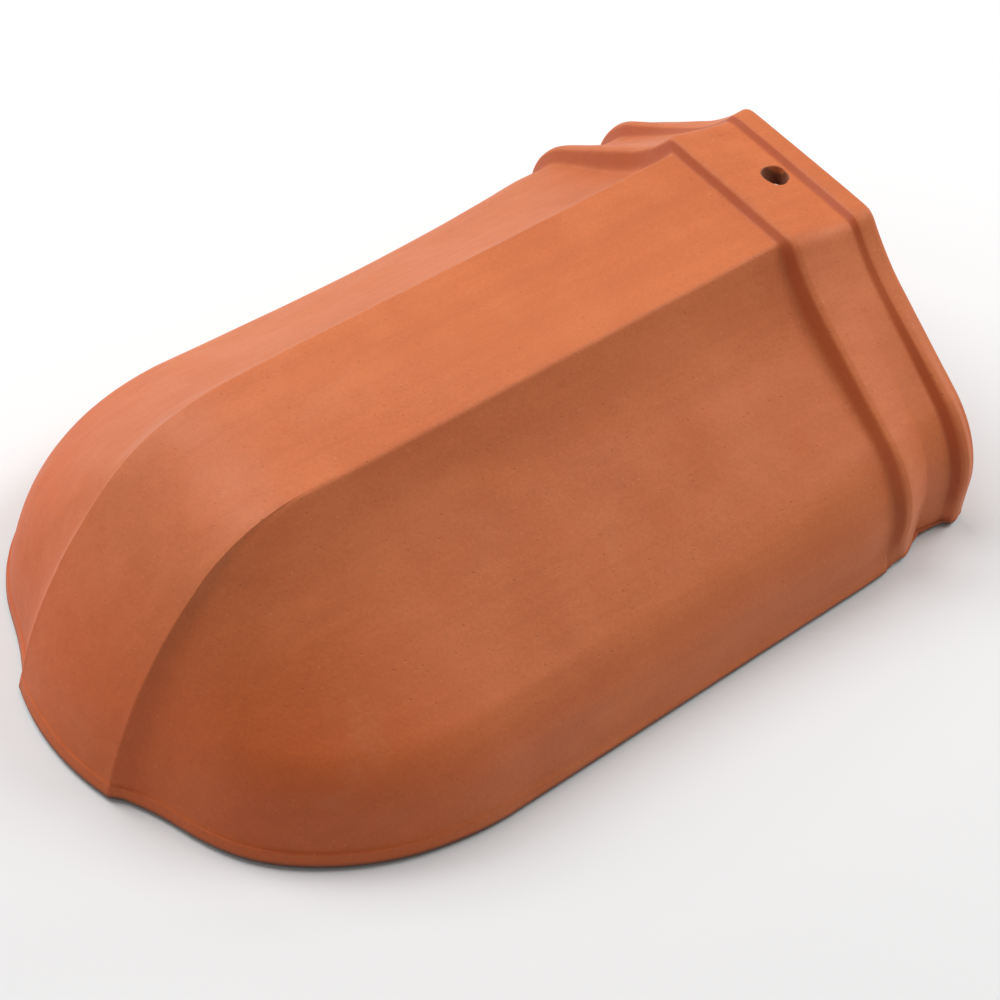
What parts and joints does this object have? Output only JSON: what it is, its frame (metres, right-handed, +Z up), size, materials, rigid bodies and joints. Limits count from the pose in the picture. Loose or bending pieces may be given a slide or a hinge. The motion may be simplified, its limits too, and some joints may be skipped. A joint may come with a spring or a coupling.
{
  "type": "ridge tile",
  "caption": "Hollow clay ridge tile with a flat-topped section, a closed rounded end and a stepped, lipped collar with a nail hole.",
  "frame": {"origin": "centre of the bounding box in X and Y, on the plane the rim rests on", "axes": "+X along the ridge from the closed rounded end to the open collar, +Z up, Y across the tile"},
  "size_m": [0.4308, 0.303, 0.1329],
  "materials": {
    "terracotta": "matte, unglazed fired clay"
  },
  "bodies": {
    "root": {"ridge_tile": "terracotta"}
  },
  "joints": []
}
